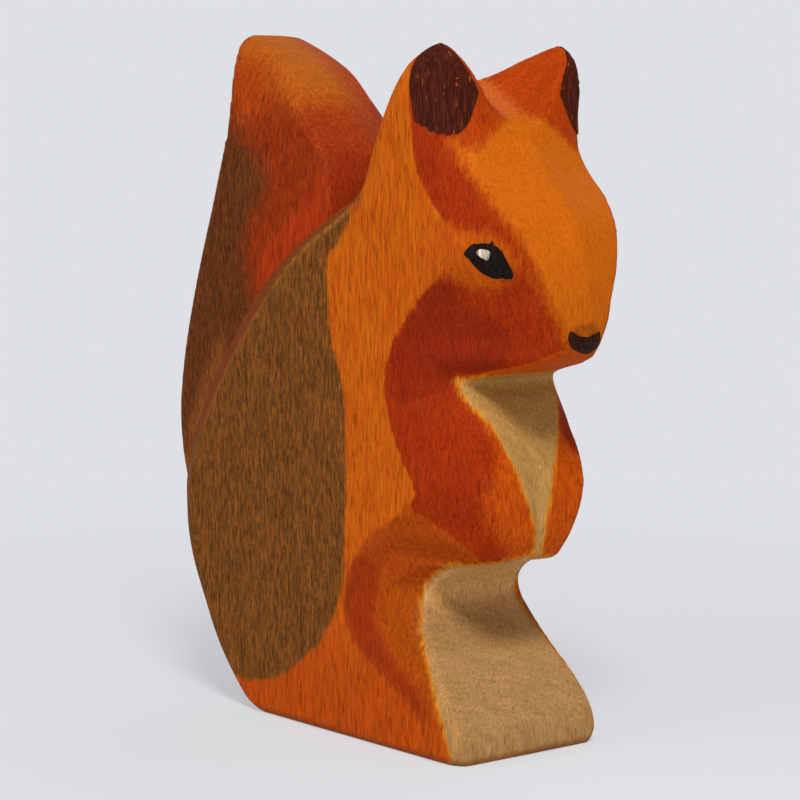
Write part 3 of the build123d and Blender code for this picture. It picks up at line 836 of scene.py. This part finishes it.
# %% Bare beech of the pegs
material, tree, shader = new_material("plain_beech")
wood = grain(tree, seed=3.1)
colour = layer(tree, stain("#d2ac78"), stain("#bd935e"), stretch(tree, wood["rings"], 0.35, 0.65))
colour = layer(tree, colour, stain("#8a6038"), stretch(tree, wood["rays"], 0.60, 0.70, 0.0, 0.6))
tree.links.new(colour.outputs[2], shader.inputs["Base Color"])
shader.inputs["Roughness"].default_value = 0.65
for name in ("tail_dowel_lower", "tail_dowel_upper"):
    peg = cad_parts[name]
    peg.data.materials.clear()
    peg.data.materials.append(material)
print("pegs in bare beech")

# %% [markdown]
# Eyes, nose and ear patches are paint, laid on with a small brush, so each is a thin skin on the
# wood with a border that shows the brush. A disc gets the outline of the brush mark and rings
# inside it. One modifier drops it on the wood, the next keeps every point just above it, and a last
# one gives it its thickness. A picture of the mark on the wood would have no edge of its own.

# %% A skin of paint
stand_off = 6 * MM
drop_reach = 14 * MM


def paint_film(name, outline, centre, heading, wood, lift, rings=(0.85, 0.66, 0.42, 0.2)):
    """A film of paint. The outline is given across and up, seen along the way it faces."""
    heading = math.radians(heading)
    facing = Vector((math.cos(heading), math.sin(heading), 0.0))
    start = Vector(centre) * MM + facing * stand_off
    rim = flowing(outline, steps=3)
    bpy.ops.object.select_all(action="DESELECT")
    bpy.ops.mesh.primitive_circle_add(vertices=len(rim), radius=1 * MM, fill_type="NGON", location=start)
    film = bpy.context.object
    film.name = name
    film.rotation_euler = facing.to_track_quat("Z", "Y").to_euler()
    for vertex, (across, up) in zip(film.data.vertices, rim):
        vertex.co = (across * MM, up * MM, 0.0)
    bpy.ops.object.mode_set(mode="EDIT")
    bpy.ops.mesh.select_all(action="SELECT")
    size = 1.0
    for ring in rings:
        bpy.ops.mesh.extrude_region_move()
        bpy.ops.transform.resize(value=(ring / size,) * 3, center_override=start)
        size = ring
    bpy.ops.mesh.poke()
    bpy.ops.object.mode_set(mode="OBJECT")
    modify(film, "SHRINKWRAP", target=wood, wrap_method="PROJECT", use_project_z=True,
           use_negative_direction=True, use_positive_direction=False, project_limit=drop_reach,
           offset=lift)
    modify(film, "SHRINKWRAP", target=wood, wrap_method="NEAREST_SURFACEPOINT",
           wrap_mode="ABOVE_SURFACE", offset=lift)
    bpy.ops.object.transform_apply(location=True, rotation=True, scale=True)
    return film


print("a film starts", stand_off / MM, "mm off the wood")

# %% [markdown]
# The brush marks are drawn across and up, in millimetres, seen along the way the paint faces.
# They keep the small corners that a brush leaves, such as the point at the front of the eye and
# the frayed lower end of the ear's patch. Each has a middle on the wood and a heading, which is
# the angle from straight ahead.

# %% Outlines of the brush marks
eye_outline = [
    (-3.1, 0.7), (-2.9, 1.0), (-2.1, 1.8), (-1.2, 1.9), (-0.9, 2.0), (0.2, 2.0), (0.6, 2.35),
    (0.75, 1.9), (1.3, 1.5), (1.9, 0.9), (2.4, -0.1), (2.75, -0.7), (2.95, -1.2), (3.0, -1.5),
    (2.75, -2.05), (2.5, -2.0), (2.1, -2.1), (1.6, -1.95), (0.9, -2.05), (0.3, -1.95), (-0.5, -1.6),
    (-1.3, -1.1), (-2.2, -0.2), (-2.6, 0.3),
]
glint_outline = [
    (-0.84, 0.1), (-0.6, 0.42), (0.0, 0.5), (0.6, 0.42), (0.86, 0.1), (0.58, -0.33), (0.0, -0.46),
    (-0.56, -0.3),
]
eye_centre = (30.3, 9.6, 61.95)
eye_heading = 62.0
glint_across = -0.55
glint_up = 0.85

ear_outline = [
    (-0.6, 5.4), (-2.0, 4.9), (-3.1, 4.0), (-4.0, 2.6), (-4.3, 0.6), (-4.1, -1.3), (-3.8, -3.0),
    (-3.6, -3.9), (-3.1, -4.1), (-2.7, -4.5), (-2.2, -4.5), (-1.8, -5.1), (-1.2, -5.1), (-0.8, -5.5),
    (-0.2, -5.3), (0.4, -5.6), (1.0, -5.4), (1.6, -5.4), (2.2, -5.0), (2.9, -4.2), (3.4, -2.9),
    (3.9, -1.3), (4.1, -0.5), (3.7, 0.6), (2.6, 2.5), (1.5, 4.0), (0.6, 4.9),
]
ear_centre = (22.8, 10.2, 82.4)
ear_heading = 42.0
nose_outline = [
    (-2.5, 1.4), (-2.75, 0.8), (-2.55, 0.1), (-2.1, -0.45), (-1.5, -0.85), (-0.6, -1.2), (0.4, -1.45),
    (1.4, -1.6), (2.1, -1.3), (2.5, -0.7), (2.6, 0.1), (2.45, 0.9), (2.15, 1.15), (1.8, 0.9),
    (1.2, 0.95), (0.4, 0.6), (-0.6, 0.7), (-1.4, 0.7), (-2.0, 1.1),
]
nose_centre = (36.0, 0.0, 52.2)
print("outlines:", len(eye_outline), len(glint_outline), len(ear_outline), len(nose_outline), "points")

# %% [markdown]
# The paint is matt and nearly black or brown, with a dab of off-white for the glint. Where the
# brush ran dry it is thin, and the fibres of the wood show in it as lighter lines. So the paint
# reads the same grain patterns as the wood.

# %% Paints
fibre_gain = 2.4
dry_from, dry_full, dry_most = 0.70, 0.76, 0.8
paint_relief = 0.04 * MM


def brushed_paint(name, thin, thick, roughness, thin_share):
    """A matt paint that shows the strokes of a small brush, thin in places."""
    material, tree, shader = new_material(name)
    wood = grain(tree, seed=1.7)
    thinned = stretch(tree, wood["brush"], dry_from - thin_share, dry_full - thin_share / 2, 0.0, dry_most)
    tone = add(tree, "HueSaturation", {"Color": stain(thick), "Value": fibre_gain})
    colour = layer(tree, stain(thick), tone, stretch(tree, wood["fibres"], 0.40, 0.66))
    colour = layer(tree, colour, stain(thin), thinned)
    shade = stretch(tree, wood["brush"], 0.3, 0.7, 0.85, 1.12)
    colour = layer(tree, colour, grey(tree, shade), 1.0, "MULTIPLY")
    tree.links.new(colour.outputs[2], shader.inputs["Base Color"])
    relief(tree, shader, wood["fibres"], 0.4, paint_relief)
    shader.inputs["Roughness"].default_value = roughness
    shader.inputs["Specular IOR Level"].default_value = 0.03
    return material


eye_paint = brushed_paint("black_paint", "#241814", "#140e0c", 0.5, 0.02)
nose_paint = brushed_paint("brown_black_paint", "#42241a", "#28140e", 0.55, 0.06)
glint_paint = brushed_paint("white_paint", "#7c715c", "#968d7a", 0.6, 0.02)
ear_paint = brushed_paint("brown_paint", "#a04c12", "#36130a", 0.6, 0.08)
print("four paints")

# %% [markdown]
# Each film now gets its thickness, down into the wood, and stays within the width of the CAD model.
# One drawing serves both sides, mirrored for the left one. The glint lies on the eye's film, so it
# is dropped on that in place of the wood.

# %% Eyes, ears and nose
film_lift = 0.07 * MM
glint_lift = 0.05 * MM
film_thickness = 0.12 * MM
glint_thickness = 0.08 * MM
patch_thickness = 0.14 * MM
glint_rings = (0.7, 0.35)
patch_rings = (0.93, 0.84, 0.74, 0.62, 0.5, 0.37, 0.24, 0.11)
sharp_fold = math.radians(40)


def finish_film(film, thickness, material, node):
    """Thickens and paints a film, and puts it in the place of its CAD node."""
    modify(film, "SOLIDIFY", thickness=thickness, offset=-1.0)
    bpy.ops.object.shade_smooth_by_angle(angle=sharp_fold)
    for vertex in film.data.vertices:
        vertex.co.y = min(max(vertex.co.y, cad_box[0][1]), cad_box[1][1])
    film.data.materials.append(material)
    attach(film, "root")
    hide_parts(node)
    places = places_of(film)
    print(film.name, len(places), "points, box", places.min(0).round(1), places.max(0).round(1))


def drawn_for(side, outline, across=0.0, up=0.0):
    """An outline, moved, and mirrored for the left side."""
    return [((x + across) * -side, y + up) for x, y in outline]


for side_name, side in (("right", -1), ("left", 1)):
    centre = (eye_centre[0], eye_centre[1] * side, eye_centre[2])
    heading = eye_heading * side
    eye = paint_film("eye_paint_" + side_name, drawn_for(side, eye_outline), centre, heading,
                     body_wood, film_lift)
    finish_film(eye, film_thickness, eye_paint, "eye_" + side_name)
    glint = paint_film("glint_paint_" + side_name,
                       drawn_for(side, glint_outline, glint_across, glint_up), centre, heading,
                       eye, glint_lift, glint_rings)
    finish_film(glint, glint_thickness, glint_paint, "eye_glint_" + side_name)
    centre = (ear_centre[0], ear_centre[1] * side, ear_centre[2])
    patch = paint_film("ear_paint_" + side_name, drawn_for(side, ear_outline), centre,
                       ear_heading * side, body_wood, film_lift, patch_rings)
    finish_film(patch, patch_thickness, ear_paint, "ear_patch_" + side_name)
nose = paint_film("nose_paint", nose_outline, nose_centre, 0.0, body_wood, film_lift)
finish_film(nose, film_thickness, nose_paint, "nose")
